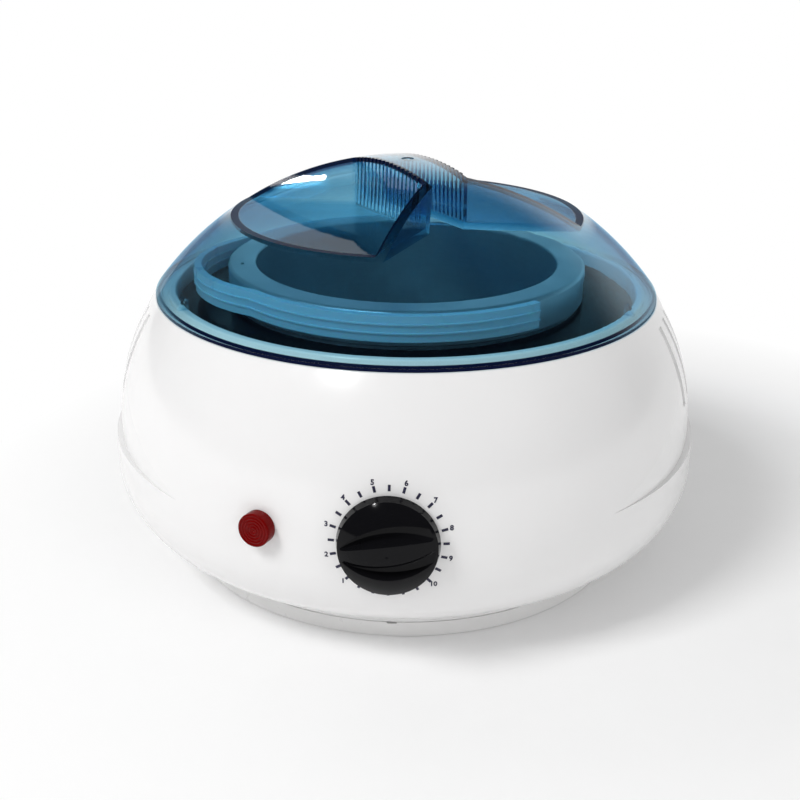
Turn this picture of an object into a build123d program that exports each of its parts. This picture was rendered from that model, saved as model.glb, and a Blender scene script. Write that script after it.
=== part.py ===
from build123d import *
from math import asin, cos, radians, sin, sqrt, tan
import os

# Electric wax warmer, in millimetres.
# +Z is up, the front with the knob faces -Y, and the origin is the centre of the standing rim.

# Housing
body_radius = 125.0
base_radius = 97.5
base_height = 12.0
cover_height = 6.3
belt_low = 43.0
belt_high = 48.0
shoulder_radius = 104.8
shoulder_height = 111.3
shoulder_thickness = 2.8
wall = 2.8
lip_inner_radius = 95.75
lip_width = 3.2
lip_rise = 2.7
lip_depth = 15.0
shelf_inner_radius = 86.0
shelf_thickness = 2.5
parting_gap = 0.3
slip_gap = 0.4

# Hand grips on both sides of the housing
grip_low = 55.0
grip_shift = 7.9
grip_low_inset = 2.9
grip_high_outset = 2.4
grip_high = 107.0
grip_arc_radius = 85.0
flute_count = 7
flute_pitch = 6.0
flute_width = 2.2
flute_depth = 1.1
flute_low = 75.0
flute_high = 106.5

# Lid
lid_inset = 0.3
lid_rise = 53.1
lid_wall = 2.5
lid_edge = 1.4
lid_gap = 0.3
recess_depth = 21.8
recess_direction = 33.7
waist_half_width = 10.5
waist_half_length = 28.6
recess_tip_angle = 49.7
recess_draft = 2.5
lid_rib_pitch = 3.0
lid_rib_count = 17
lid_rib_width = 1.4
lid_rib_depth = 0.9
lug_first_angle = 92.3
lug_count = 3
lug_width = 3.0
gate_radius = 2.6
gate_depth = 0.35

# Wax pot
pot_inner_radius = 63.0
pot_wall = 1.2
pot_floor = 1.5
pot_proud = 11.7
pot_depth = 80.0
pot_corner = 6.0
collar_radius = 74.4
collar_height = 13.0
collar_edge = 1.5
rim_slot_angle = -166.2
rim_slot_length = 3.0
rim_slot_width = 1.5

# Pot handle
handle_thickness = 3.0
handle_height = 10.0
handle_drop = 0.5
handle_gap = 0.3
handle_start = 62.3
handle_end = 312.3
loop_direction = 187.3
loop_half_angle = 35.0
loop_reach = 86.8
loop_blend = 8.0
ridge_height = 0.6
ridge_depth = 0.5
peg_radius = 2.0
peg_fit = 0.1
stud_radius = 3.6
stud_height = 2.4
stud_angle = 7.3
stud_drop = 8.5

# Heating well and black deck ring
well_gap = 0.8
well_wall = 1.6
well_floor = 2.0
well_rest_gap = 0.3
well_flange_reach = 73.2
well_flange_thickness = 1.2
deck_drop = 6.0
deck_thickness = 3.0
deck_inner_radius = 69.0
ring_wall = 2.8
ring_boss_radius = 3.8
ring_boss_circle = 90.5
seat_gap = 0.3

# Heater
band_gap = 0.1
band_thickness = 2.4
band_rise = 12.8
band_height = 40.0
band_split_angle = 150.0
band_split = 10.0
strap_thickness = 0.8
strap_height = 12.0
strap_ear = 10.0
wrap_thickness = 6.0
wrap_below = 4.0
wrap_above = 5.0
wrap_gap = 0.3
wrap_window = 40.0

# Heat shield
shield_radius = 70.0
shield_drop = 10.2
shield_thickness = 0.8
shield_rim = 3.5
shield_post_count = 3
shield_post_circle = 55.0
shield_post_radius = 4.0

# Base cover
rim_width = 5.0
cover_recess = 3.0
cover_plate = 2.5
spigot_height = 5.0
spigot_wall = 2.5
vent_count = 12
vent_inner_radius = 28.0
vent_length = 22.0
vent_width = 3.0
base_screw_circle = 88.5
base_boss_radius = 4.5
base_boss_high = 22.0
base_boss_low = 7.5
gusset_width = 3.0
foot_circle = 78.0
foot_radius = 8.0
foot_thickness = 4.0
foot_fit = 0.15
foot_wall = 1.8

# Screws
small_screw_radius = 1.5
small_head_radius = 3.0
small_head_height = 2.0
pilot_fit = 0.05
clearance_fit = 0.3

# Knob, dial and thermostat
knob_height_on_body = 56.7
knob_radius = 18.0
knob_front_radius = 17.3
knob_edge = 4.3
knob_rise = 10.2
knob_gap = 0.4
knob_wall = 2.0
knob_bar_tilt = 8.7
scoop_near = 5.6
scoop_near_end = 0.6
scoop_far = 8.2
scoop_far_end = 5.0
scoop_floor = 5.0
scoop_tip_width = 0.6
scoop_draft = 24.0
scoop_round = 1.6
hub_radius = 5.5
shaft_radius = 3.0
shaft_fit = 0.05
shaft_flat = 1.6
shaft_front = 7.0
shaft_back = -16.0
clip_thickness = 0.5
shaft_hole_radius = 5.5
plate_pad_depth = 5.0
plate_thickness = 1.5
plate_fit = 0.1
screw_spacing = 28.0
switch_radius = 16.0
switch_depth = 18.0
tab_length = 8.0
tab_width = 6.3
tab_thickness = 0.8
countersink_radius = 3.8
plate_screw_radius = 2.0

# Capillary sensor and fuse
bulb_radius = 2.5
bulb_length = 60.0
bulb_offset = -20.0
capillary_radius = 1.0
capillary_bend = 9.0
clip_sheet = 0.8
fuse_radius = 2.0
fuse_length = 11.0
fuse_offset = 22.0
contact_gap = 0.1

# Terminal block
block_length = 30.0
block_width = 16.0
block_height = 13.0
block_x = -38.0
block_y = 62.0
block_step_height = 6.0

# Insulated leads, which cross at two levels under the heat shield
lead_radius = 1.0
lead_bend = 5.0
lead_low = 12.0
lead_rise_circle = 73.0
lead_hole_fit = 1.2
fuse_lead_spot = (-20.0, 40.0)
switch_lead_spot = (24.0, 10.0)
band_lead_angle = 7.0

# Cord bushing
inlet_rise = 2.0
inlet_bore_radius = 3.5
inlet_stem_radius = 6.2
inlet_flange_radius = 8.5
inlet_flange_thickness = 2.5
inlet_boss_radius = 10.0
inlet_boss_depth = 1.2
inlet_hole_fit = 0.2
inlet_stem_length = 12.0
inlet_nut_width = 17.0
inlet_nut_thickness = 4.0

# Pilot lamp
lamp_angle = -111.5
lamp_height = 57.0
lens_radius = 6.2
lens_flange = 1.2
lens_reach = 4.6
lens_ring_step = 0.9
lamp_stem_radius = 4.0
lamp_hole_fit = 0.15
lamp_body_length = 18.0
lamp_clip_radius = 7.0
lamp_clip_thickness = 0.8

os.makedirs("parts", exist_ok=True)

# Arcs of the housing's outer profile: both are tangent to the upright belt.
lower_rise = belt_low - base_height
lower_run = body_radius - base_radius
lower_arc = (lower_rise**2 + lower_run**2) / (2 * lower_run)
lower_centre = body_radius - lower_arc
upper_rise = shoulder_height - belt_high
upper_run = body_radius - shoulder_radius
upper_arc = (upper_rise**2 + upper_run**2) / (2 * upper_run)
upper_centre = body_radius - upper_arc

# Heights and radii that follow the housing's shoulder
lip_height = shoulder_height + lip_rise
deck_height = lip_height - deck_drop
lid_radius = shoulder_radius - lid_inset
lid_top = shoulder_height + lid_rise
recess_floor = lid_top - recess_depth
grip_low_radius = body_radius - grip_low_inset
grip_high_radius = shoulder_radius + grip_high_outset
inlet_height = belt_low + inlet_rise

# The pot stands in the well, and what heats or carries the well follows its floor.
pot_rim_height = shoulder_height + pot_proud
collar_low = pot_rim_height - collar_height
handle_top = pot_rim_height - handle_drop
stud_height_on_collar = pot_rim_height - stud_drop
pot_outer_radius = pot_inner_radius + pot_wall
pot_bottom = pot_rim_height - pot_depth - pot_floor
well_inner_radius = pot_outer_radius + well_gap
well_outer_radius = well_inner_radius + well_wall
well_bottom = pot_bottom - well_rest_gap - well_floor
band_low = well_bottom + band_rise
wrap_low = band_low - wrap_below
wrap_high = band_low + band_height + wrap_above
shield_height = well_bottom - shield_drop
collar_inner_radius = collar_radius - pot_wall
shoulder_under = shoulder_height - shoulder_thickness
lip_low = lip_height - lip_depth
plate_top = cover_recess + cover_plate


def surface_radius(height):
    """Outer radius of the housing above the belt."""
    return upper_centre + sqrt(upper_arc**2 - (height - belt_high) ** 2)


def around(angle, radius, height=0):
    """Point at this angle and radius about the upright axis."""
    return (radius * cos(radians(angle)), radius * sin(radians(angle)), height)


def upright(angle, centre=(0, 0, 0)):
    """Upright plane through the centre, whose x axis points out at this angle."""
    outward = around(angle, 1)
    return Plane(origin=centre, x_dir=outward, z_dir=(outward[1], -outward[0], 0))


def wall_plane(angle, height):
    """Plane that touches the housing from outside, with its z axis along the surface normal."""
    tilt = asin((height - belt_high) / upper_arc)
    outward = around(angle, cos(tilt), sin(tilt))
    sideways = around(angle + 90, 1)
    return Plane(origin=around(angle, surface_radius(height), height), x_dir=sideways, z_dir=outward)


def level(angle, radius, height):
    """Level plane at this angle and radius, whose x axis points out."""
    return Plane(origin=around(angle, radius, height), x_dir=around(angle, 1), z_dir=(0, 0, 1))


knob_plane = wall_plane(-90, knob_height_on_body)
lamp_plane = wall_plane(lamp_angle, lamp_height)
inlet_plane = Plane(origin=(0, body_radius, inlet_height), x_dir=(-1, 0, 0), z_dir=(0, 1, 0))
base_screw_angles = [0, 90, 180, 270]
ring_screw_angles = [45, 135, 225, 315]

# Foot of the hand grip: the arc's bulge over its chord, which keeps the grip's own radius.
grip_chord = sqrt((grip_low_radius - grip_high_radius) ** 2 + (grip_high - grip_low) ** 2)
grip_bulge = grip_arc_radius - sqrt(grip_arc_radius**2 - (grip_chord / 2) ** 2)


def grip_band(side, inset, low, high):
    """Ring outside the hand grip's surface, moved inwards by the inset."""
    centre = (-side * grip_shift, 0, 0)
    plane = upright(0 if side > 0 else 180, centre)
    foot = grip_low_radius + grip_shift - inset
    head = grip_high_radius + grip_shift - inset
    beyond = foot + 4 * wall
    with BuildPart() as band:
        with BuildSketch(plane):
            with BuildLine():
                Line((foot, low), (beyond, low))
                Line((beyond, low), (beyond, high))
                Line((beyond, high), (head, high))
                SagittaArc((head, high), (foot, low), grip_bulge)
            make_face()
        revolve(axis=Axis(centre, (0, 0, 1)))
    return band.part


def flute(side, angle):
    """Blind upright groove in the hand grip."""
    centre = (-side * grip_shift, 0, 0)
    plane = upright(angle - flute_width / 2, centre)
    foot = grip_low_radius + grip_shift - flute_depth
    head = grip_high_radius + grip_shift - flute_depth
    beyond = foot + 4 * wall
    with BuildPart() as groove:
        with BuildSketch(plane):
            with BuildLine():
                Line((foot, grip_low), (beyond, grip_low))
                Line((beyond, grip_low), (beyond, grip_high))
                Line((beyond, grip_high), (head, grip_high))
                SagittaArc((head, grip_high), (foot, grip_low), grip_bulge)
            make_face()
        revolve(axis=Axis(centre, (0, 0, 1)), revolution_arc=flute_width)
        with BuildSketch(Plane.XY.offset(flute_low)):
            Rectangle(4 * body_radius, 4 * body_radius)
        extrude(amount=flute_high - flute_low, mode=Mode.INTERSECT)
    return groove.part


# Hollow of the housing, which follows the outer wall and keeps its thickness behind the grips
with BuildPart() as housing_hollow:
    with BuildSketch(Plane.XZ):
        inner_base = base_radius - wall
        inner_low = lower_arc - wall
        inner_high = upper_arc - wall
        low_start = belt_low - sqrt(inner_low**2 - (inner_base - lower_centre) ** 2)
        high_end = upper_centre + sqrt(inner_high**2 - (shoulder_under - belt_high) ** 2)
        with BuildLine():
            Line((0, 0), (inner_base, 0))
            Line((inner_base, 0), (inner_base, low_start))
            RadiusArc((inner_base, low_start), (body_radius - wall, belt_low), -inner_low)
            Line((body_radius - wall, belt_low), (body_radius - wall, belt_high))
            RadiusArc((body_radius - wall, belt_high), (high_end, shoulder_under), -inner_high)
            Line((high_end, shoulder_under), (0, shoulder_under))
            Line((0, shoulder_under), (0, 0))
        make_face()
    revolve(axis=Axis.Z)
    for side in (1, -1):
        add(grip_band(side, wall, grip_low - wall, grip_high), mode=Mode.SUBTRACT)

# Housing shell
with BuildPart() as housing_shell:
    with BuildSketch(Plane.XZ):
        housing_bottom = cover_height + parting_gap / 2
        with BuildLine():
            Line((0, housing_bottom), (base_radius, housing_bottom))
            Line((base_radius, housing_bottom), (base_radius, base_height))
            RadiusArc((base_radius, base_height), (body_radius, belt_low), -lower_arc)
            Line((body_radius, belt_low), (body_radius, belt_high))
            RadiusArc((body_radius, belt_high), (shoulder_radius, shoulder_height), -upper_arc)
            Line((shoulder_radius, shoulder_height), (0, shoulder_height))
            Line((0, shoulder_height), (0, housing_bottom))
        make_face()
    revolve(axis=Axis.Z)
    for side in (1, -1):
        add(grip_band(side, 0, grip_low, grip_high), mode=Mode.SUBTRACT)
        middle = 0 if side > 0 else 180
        for place in range(flute_count):
            angle = middle + (place - (flute_count - 1) / 2) * flute_pitch
            add(flute(side, angle), mode=Mode.SUBTRACT)
    add(housing_hollow.part, mode=Mode.SUBTRACT)
    # upright lip round the opening, which centres the lid and the deck ring
    with BuildSketch(Plane.XY.offset(lip_low)):
        Circle(lip_inner_radius + lip_width)
    extrude(amount=lip_depth)
    with BuildSketch(Plane.XY.offset(lip_low)):
        Circle(lip_inner_radius)
    extrude(amount=lip_depth, mode=Mode.SUBTRACT)
    lip_top = housing_shell.edges().filter_by(GeomType.CIRCLE).group_by(Axis.Z)[-1]
    fillet(lip_top, radius=lip_width / 4)
    # shelf inside the lip, on which the deck ring stands
    with BuildSketch(Plane.XY.offset(lip_low)):
        Circle(lip_inner_radius + lip_width / 2)
        Circle(shelf_inner_radius, mode=Mode.SUBTRACT)
        with PolarLocations(ring_boss_circle, len(ring_screw_angles), start_angle=ring_screw_angles[0]):
            Circle(small_screw_radius + clearance_fit, mode=Mode.SUBTRACT)
    extrude(amount=shelf_thickness)
    # bosses and gussets at the bottom for the base cover
    for angle in base_screw_angles:
        with BuildSketch(level(angle, base_screw_circle, base_boss_low)):
            Circle(base_boss_radius)
        extrude(amount=base_boss_high - base_boss_low)
        with BuildSketch(level(angle, (base_screw_circle + inner_base) / 2 + wall / 4, base_boss_low)):
            Rectangle(inner_base - base_screw_circle + wall / 2, gusset_width)
        extrude(amount=low_start - base_boss_low)
        with BuildSketch(level(angle, base_screw_circle, base_boss_low)):
            Circle(small_screw_radius + pilot_fit)
        extrude(amount=base_boss_high - base_boss_low - wall, mode=Mode.SUBTRACT)
    # seats for the thermostat's plate, then the holes for its screws and shaft
    with BuildSketch(knob_plane.offset(-plate_pad_depth)):
        with GridLocations(screw_spacing, 0, 2, 1):
            Circle(countersink_radius + wall / 4)
    extrude(amount=plate_pad_depth - wall / 2)
    with BuildSketch(knob_plane.offset(wall)):
        Circle(shaft_hole_radius)
    extrude(amount=-plate_pad_depth - 2 * wall, mode=Mode.SUBTRACT)
    with BuildSketch(knob_plane.offset(wall)):
        with GridLocations(screw_spacing, 0, 2, 1):
            Circle(plate_screw_radius + pilot_fit)
    extrude(amount=-plate_pad_depth - 2 * wall, mode=Mode.SUBTRACT)
    with BuildSketch(knob_plane.offset(-countersink_radius / 2)):
        with GridLocations(screw_spacing, 0, 2, 1):
            Circle(countersink_radius + clearance_fit)
    extrude(amount=2 * wall, mode=Mode.SUBTRACT)
    # hole for the pilot lamp
    with BuildSketch(lamp_plane.offset(wall)):
        Circle(lamp_stem_radius + lamp_hole_fit)
    extrude(amount=-3 * wall, mode=Mode.SUBTRACT)
    # flat boss and hole for the cord bushing
    with BuildSketch(inlet_plane.offset(-wall / 2)):
        Circle(inlet_boss_radius)
    extrude(amount=inlet_boss_depth + wall / 2)
    with BuildSketch(inlet_plane.offset(inlet_boss_depth)):
        Circle(inlet_stem_radius + inlet_hole_fit)
    extrude(amount=-inlet_boss_depth - 2 * wall, mode=Mode.SUBTRACT)
housing_shell.part.label = "housing_shell"
export_step(housing_shell.part, "parts/housing_shell.step")

# Base cover with its standing rim, sockets for the feet and vents
with BuildPart() as base_cover:
    with BuildSketch(Plane.XY):
        Circle(base_radius)
        Circle(base_radius - rim_width, mode=Mode.SUBTRACT)
    extrude(amount=cover_height - parting_gap / 2)
    with BuildSketch(Plane.XY.offset(cover_recess)):
        Circle(base_radius - rim_width / 2)
    extrude(amount=cover_plate)
    with BuildSketch(Plane.XY.offset(cover_recess)):
        Circle(inner_base - slip_gap)
        Circle(inner_base - slip_gap - spigot_wall, mode=Mode.SUBTRACT)
    extrude(amount=plate_top - cover_recess + spigot_height)
    for angle in base_screw_angles:
        with BuildSketch(level(angle, base_screw_circle, plate_top)):
            Circle(base_boss_radius + slip_gap)
            Rectangle(4 * base_boss_radius, gusset_width + 2 * slip_gap)
        extrude(amount=spigot_height, mode=Mode.SUBTRACT)
        # seat that meets the housing's boss, with a deep recess for the screw head
        seat_high = base_boss_low - seat_gap
        with BuildSketch(level(angle, base_screw_circle, cover_recess)):
            Circle(base_boss_radius)
        extrude(amount=seat_high - cover_recess)
        with BuildSketch(level(angle, base_screw_circle, 0)):
            Circle(small_screw_radius + clearance_fit)
        extrude(amount=seat_high, mode=Mode.SUBTRACT)
        with BuildSketch(level(angle, base_screw_circle, 0)):
            Circle(small_head_radius + clearance_fit)
        extrude(amount=cover_recess + small_head_height / 2, mode=Mode.SUBTRACT)
    for angle in ring_screw_angles:
        with BuildSketch(level(angle, foot_circle, foot_thickness)):
            Circle(foot_radius + foot_fit + foot_wall)
        extrude(amount=foot_wall)
        with BuildSketch(level(angle, foot_circle, cover_recess / 2)):
            Circle(foot_radius + foot_fit + foot_wall)
        extrude(amount=foot_thickness - cover_recess / 2)
        with BuildSketch(level(angle, foot_circle, 0)):
            Circle(foot_radius + foot_fit)
        extrude(amount=foot_thickness, mode=Mode.SUBTRACT)
    with BuildSketch(Plane.XY.offset(cover_recess)):
        with PolarLocations(vent_inner_radius + vent_length / 2, vent_count):
            SlotOverall(vent_length, vent_width)
    extrude(amount=cover_plate, mode=Mode.SUBTRACT)
    # posts for the terminal block
    with BuildSketch(Plane.XY.offset(plate_top)):
        with Locations((block_x, block_y)):
            with GridLocations(block_length - 4 * small_screw_radius, 0, 2, 1):
                Circle(small_head_radius)
                Circle(small_screw_radius + pilot_fit, mode=Mode.SUBTRACT)
    extrude(amount=block_step_height)
base_cover.part.label = "base_cover"
export_step(base_cover.part, "parts/base_cover.step")

foot_names = ["foot_rear_right", "foot_rear_left", "foot_front_left", "foot_front_right"]
for foot_name, angle in zip(foot_names, ring_screw_angles):
    with BuildPart() as foot:
        with BuildSketch(level(angle, foot_circle, 0)):
            Circle(foot_radius)
        extrude(amount=foot_thickness - foot_fit)
        sole = foot.edges().group_by(Axis.Z)[0]
        fillet(sole, radius=foot_thickness / 8)
    foot.part.label = foot_name
    export_step(foot.part, f"parts/{foot_name}.step")


def screw(plane, shank_radius, length, head_radius, head_height):
    """Pan-head screw, its head standing on the plane and its shank pointing along -z."""
    with BuildPart() as piece:
        with BuildSketch(plane):
            Circle(head_radius)
        extrude(amount=head_height)
        with BuildSketch(plane):
            Circle(shank_radius)
        extrude(amount=-length)
        with BuildSketch(plane.offset(head_height / 2)):
            Rectangle(head_radius, head_radius / 4)
            Rectangle(head_radius / 4, head_radius)
        extrude(amount=head_height / 2, mode=Mode.SUBTRACT)
    return piece.part


with BuildPart() as base_screws:
    for angle in base_screw_angles:
        head_seat = cover_recess + small_head_height / 2
        seat_plane = Plane(origin=around(angle, base_screw_circle, head_seat), z_dir=(0, 0, -1))
        reach = base_boss_high - 2 * wall - head_seat
        add(screw(seat_plane, small_screw_radius, reach, small_head_radius, small_head_height))
base_screws.part.label = "base_screws"
export_step(base_screws.part, "parts/base_screws.step")

# Glossy black deck ring between housing and well
with BuildPart() as well_ring:
    ring_outer = lip_inner_radius - slip_gap
    with BuildSketch(Plane.XY.offset(deck_height - deck_thickness)):
        Circle(ring_outer)
        Circle(deck_inner_radius, mode=Mode.SUBTRACT)
    extrude(amount=deck_thickness)
    fillet(well_ring.edges().group_by(Axis.Z)[-1], radius=deck_thickness / 4)
    ring_low = lip_low + shelf_thickness + seat_gap
    with BuildSketch(Plane.XY.offset(ring_low)):
        Circle(ring_outer)
        Circle(ring_outer - ring_wall, mode=Mode.SUBTRACT)
        with PolarLocations(ring_boss_circle, len(ring_screw_angles), start_angle=ring_screw_angles[0]):
            Circle(ring_boss_radius)
            Circle(small_screw_radius + pilot_fit, mode=Mode.SUBTRACT)
    extrude(amount=deck_height - deck_thickness - ring_low)
well_ring.part.label = "well_ring"
export_step(well_ring.part, "parts/well_ring.step")

with BuildPart() as ring_screws:
    for angle in ring_screw_angles:
        seat_plane = Plane(origin=around(angle, ring_boss_circle, lip_low), z_dir=(0, 0, -1))
        reach = deck_height - deck_thickness - lip_low - clearance_fit
        add(screw(seat_plane, small_screw_radius, reach, small_head_radius, small_head_height))
ring_screws.part.label = "ring_screws"
export_step(ring_screws.part, "parts/ring_screws.step")

# Heating well, hung from the deck by its flange
with BuildPart() as heating_well:
    with BuildSketch(Plane.XZ):
        flange_low = deck_height
        flange_high = deck_height + well_flange_thickness
        floor_top = well_bottom + well_floor
        outer_corner = pot_corner + well_wall
        with BuildLine():
            Line((0, well_bottom), (well_outer_radius - outer_corner, well_bottom))
            RadiusArc(
                (well_outer_radius - outer_corner, well_bottom),
                (well_outer_radius, well_bottom + outer_corner),
                -outer_corner,
            )
            Line((well_outer_radius, well_bottom + outer_corner), (well_outer_radius, flange_low))
            Line((well_outer_radius, flange_low), (well_flange_reach, flange_low))
            Line((well_flange_reach, flange_low), (well_flange_reach, flange_high))
            Line((well_flange_reach, flange_high), (well_inner_radius, flange_high))
            Line((well_inner_radius, flange_high), (well_inner_radius, floor_top + pot_corner))
            RadiusArc(
                (well_inner_radius, floor_top + pot_corner),
                (well_inner_radius - pot_corner, floor_top),
                pot_corner,
            )
            Line((well_inner_radius - pot_corner, floor_top), (0, floor_top))
            Line((0, floor_top), (0, well_bottom))
        make_face()
    revolve(axis=Axis.Z)
heating_well.part.label = "heating_well"
export_step(heating_well.part, "parts/heating_well.step")

# Band heater, split where the strap closes it
band_inner = well_outer_radius + band_gap
band_outer = band_inner + band_thickness
split_reach = 2 * body_radius
with BuildPart() as heater_band:
    with BuildSketch(Plane.XY.offset(band_low)):
        Circle(band_outer)
        Circle(band_inner, mode=Mode.SUBTRACT)
    extrude(amount=band_height)
    with BuildSketch(level(band_split_angle, split_reach / 2, band_low)):
        Rectangle(split_reach, band_split)
    extrude(amount=band_height, mode=Mode.SUBTRACT)
heater_band.part.label = "heater_band"
export_step(heater_band.part, "parts/heater_band.step")

strap_inner = band_outer + band_gap
strap_outer = strap_inner + strap_thickness
strap_low = band_low + (band_height - strap_height) / 2
ear_offset = (band_split - strap_thickness) / 2
with BuildPart() as clamp_strap:
    with BuildSketch(Plane.XY.offset(strap_low)):
        Circle(strap_outer)
        Circle(strap_inner, mode=Mode.SUBTRACT)
    extrude(amount=strap_height)
    with BuildSketch(level(band_split_angle, split_reach / 2, strap_low)):
        Rectangle(split_reach, band_split)
    extrude(amount=strap_height, mode=Mode.SUBTRACT)
    with BuildSketch(level(band_split_angle, strap_inner + strap_ear / 2, strap_low)):
        with GridLocations(0, band_split + strap_thickness, 1, 2):
            Rectangle(strap_ear, strap_thickness)
    extrude(amount=strap_height)
    screw_spot = around(band_split_angle, strap_inner + strap_ear * 0.6, strap_low + strap_height / 2)
    across = Plane(origin=screw_spot, z_dir=around(band_split_angle + 90, 1))
    with BuildSketch(across.offset(-band_split)):
        Circle(small_screw_radius + clearance_fit)
    extrude(amount=2 * band_split, mode=Mode.SUBTRACT)
clamp_strap.part.label = "clamp_strap"
export_step(clamp_strap.part, "parts/clamp_strap.step")

# Screw that pulls the strap's ears together, and its nut
ear_face = band_split / 2 + strap_thickness
with BuildPart() as strap_screw:
    ear_plane = across.offset(ear_face)
    add(screw(ear_plane, small_screw_radius, 2 * ear_face + 4, small_head_radius, small_head_height))
strap_screw.part.label = "strap_screw"
export_step(strap_screw.part, "parts/strap_screw.step")

with BuildPart() as strap_nut:
    with BuildSketch(across.offset(-ear_face)):
        RegularPolygon(radius=small_head_radius, side_count=6)
        Circle(small_screw_radius + pilot_fit, mode=Mode.SUBTRACT)
    extrude(amount=-small_head_height)
strap_nut.part.label = "strap_nut"
export_step(strap_nut.part, "parts/strap_nut.step")

# Glass-fibre wrap, open at the strap's ears
wrap_inner = strap_outer + wrap_gap
with BuildPart() as insulation_wrap:
    with BuildSketch(upright(band_split_angle + wrap_window / 2)):
        with Locations((wrap_inner + wrap_thickness / 2, (wrap_low + wrap_high) / 2)):
            RectangleRounded(wrap_thickness, wrap_high - wrap_low, radius=wrap_thickness / 3)
    revolve(axis=Axis.Z, revolution_arc=360 - wrap_window)
insulation_wrap.part.label = "insulation_wrap"
export_step(insulation_wrap.part, "parts/insulation_wrap.step")

# Reflecting pan under the well
with BuildPart() as heat_shield:
    with BuildSketch(Plane.XY.offset(shield_height)):
        Circle(shield_radius)
        with PolarLocations(shield_post_circle, shield_post_count, start_angle=30):
            Circle(small_screw_radius + clearance_fit, mode=Mode.SUBTRACT)
        with Locations(fuse_lead_spot, switch_lead_spot):
            Circle(lead_radius + lead_hole_fit, mode=Mode.SUBTRACT)
    extrude(amount=shield_thickness)
    with BuildSketch(Plane.XY.offset(shield_height)):
        Circle(shield_radius)
        Circle(shield_radius - shield_thickness, mode=Mode.SUBTRACT)
    extrude(amount=shield_rim)
heat_shield.part.label = "heat_shield"
export_step(heat_shield.part, "parts/heat_shield.step")

with BuildPart() as shield_standoffs:
    with BuildSketch(Plane.XY.offset(plate_top)):
        with PolarLocations(shield_post_circle, shield_post_count, start_angle=30):
            RegularPolygon(radius=shield_post_radius, side_count=6)
    extrude(amount=shield_height - plate_top)
    with BuildSketch(Plane.XY.offset(shield_height)):
        with PolarLocations(shield_post_circle, shield_post_count, start_angle=30):
            Circle(small_screw_radius + pilot_fit)
    extrude(amount=-6, mode=Mode.SUBTRACT)
shield_standoffs.part.label = "shield_standoffs"
export_step(shield_standoffs.part, "parts/shield_standoffs.step")

with BuildPart() as shield_screws:
    for place in range(shield_post_count):
        angle = 30 + place * 360 / shield_post_count
        spot = around(angle, shield_post_circle, shield_height + shield_thickness)
        add(screw(Plane(origin=spot), small_screw_radius, 5, small_head_radius, small_head_height))
shield_screws.part.label = "shield_screws"
export_step(shield_screws.part, "parts/shield_screws.step")

# Wax pot with its turned-down collar
with BuildPart() as wax_pot:
    with BuildSketch(Plane.XZ):
        floor_top = pot_bottom + pot_floor
        inner_corner = pot_corner - pot_wall
        corner_top = floor_top + inner_corner
        mouth_round = pot_wall * 0.8
        flange_under = pot_rim_height - pot_wall
        mouth_radius = pot_inner_radius + mouth_round
        with BuildLine():
            Line((0, pot_bottom), (pot_outer_radius - pot_corner, pot_bottom))
            RadiusArc(
                (pot_outer_radius - pot_corner, pot_bottom),
                (pot_outer_radius, pot_bottom + pot_corner),
                -pot_corner,
            )
            Line((pot_outer_radius, pot_bottom + pot_corner), (pot_outer_radius, flange_under))
            Line((pot_outer_radius, flange_under), (collar_inner_radius, flange_under))
            Line((collar_inner_radius, flange_under), (collar_inner_radius, collar_low))
            Line((collar_inner_radius, collar_low), (collar_radius, collar_low))
            Line((collar_radius, collar_low), (collar_radius, pot_rim_height - collar_edge))
            RadiusArc(
                (collar_radius, pot_rim_height - collar_edge),
                (collar_radius - collar_edge, pot_rim_height),
                -collar_edge,
            )
            Line((collar_radius - collar_edge, pot_rim_height), (mouth_radius, pot_rim_height))
            RadiusArc(
                (mouth_radius, pot_rim_height),
                (pot_inner_radius, pot_rim_height - mouth_round),
                -mouth_round,
            )
            Line((pot_inner_radius, pot_rim_height - mouth_round), (pot_inner_radius, corner_top))
            RadiusArc(
                (pot_inner_radius, corner_top),
                (pot_inner_radius - inner_corner, floor_top),
                inner_corner,
            )
            Line((pot_inner_radius - inner_corner, floor_top), (0, floor_top))
            Line((0, floor_top), (0, pot_bottom))
        make_face()
    revolve(axis=Axis.Z)
    slot_radius = (pot_outer_radius + collar_inner_radius) / 2
    with BuildSketch(level(rim_slot_angle, slot_radius, pot_rim_height)):
        SlotOverall(rim_slot_length, rim_slot_width, rotation=90)
    extrude(amount=-2 * pot_wall, mode=Mode.SUBTRACT)
    # holes in the collar for the handle's pegs and for the stud
    handle_middle = handle_top - handle_height / 2
    peg_angles = [handle_start + 10, loop_direction - 50, loop_direction + 50, handle_end - 10]
    for angle in peg_angles:
        peg_spot = around(angle, collar_inner_radius - pot_wall, handle_middle)
        with BuildSketch(Plane(origin=peg_spot, z_dir=around(angle, 1))):
            Circle(peg_radius + peg_fit)
        extrude(amount=3 * pot_wall, mode=Mode.SUBTRACT)
    stud_plane = Plane(origin=around(stud_angle, collar_radius, stud_height_on_collar), z_dir=around(stud_angle, 1))
    with BuildSketch(stud_plane):
        Circle(stud_radius / 2 + peg_fit)
    extrude(amount=-2 * pot_wall, mode=Mode.SUBTRACT)
wax_pot.part.label = "wax_pot"
export_step(wax_pot.part, "parts/wax_pot.step")

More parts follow.
